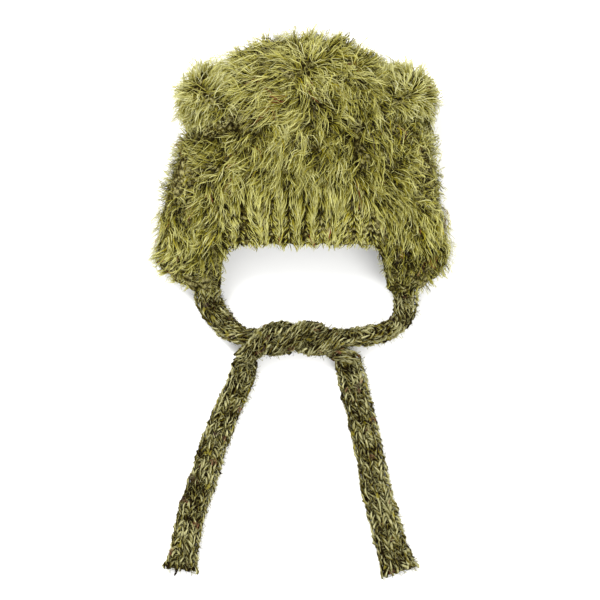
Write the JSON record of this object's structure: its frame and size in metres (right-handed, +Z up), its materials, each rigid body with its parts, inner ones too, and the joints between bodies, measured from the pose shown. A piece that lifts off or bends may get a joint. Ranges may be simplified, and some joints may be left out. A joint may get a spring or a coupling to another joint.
{
  "type": "knitted bonnet with ears and tie strings",
  "caption": "Shaggy knitted bonnet with round ears, ear flaps and flat knitted ties, laid flat with the ties half-knotted under the face opening.",
  "frame": {"origin": "middle of the flattened back of the crown, on the surface that the bonnet lies on", "axes": "+Z up from that surface through the front of the crown, +Y from the ties to the top of the crown, +X across the face opening"},
  "size_m": [0.2366, 0.4422, 0.0727],
  "materials": {
    "pile": "matte shaggy pile",
    "ear_pile": "matte shaggy pile",
    "tie_knit": "matte knit"
  },
  "bodies": {
    "root": {"crown": "pile", "ear_left": "ear_pile", "ear_right": "ear_pile", "tie_left": "tie_knit", "tie_right": "tie_knit"}
  },
  "joints": []
}
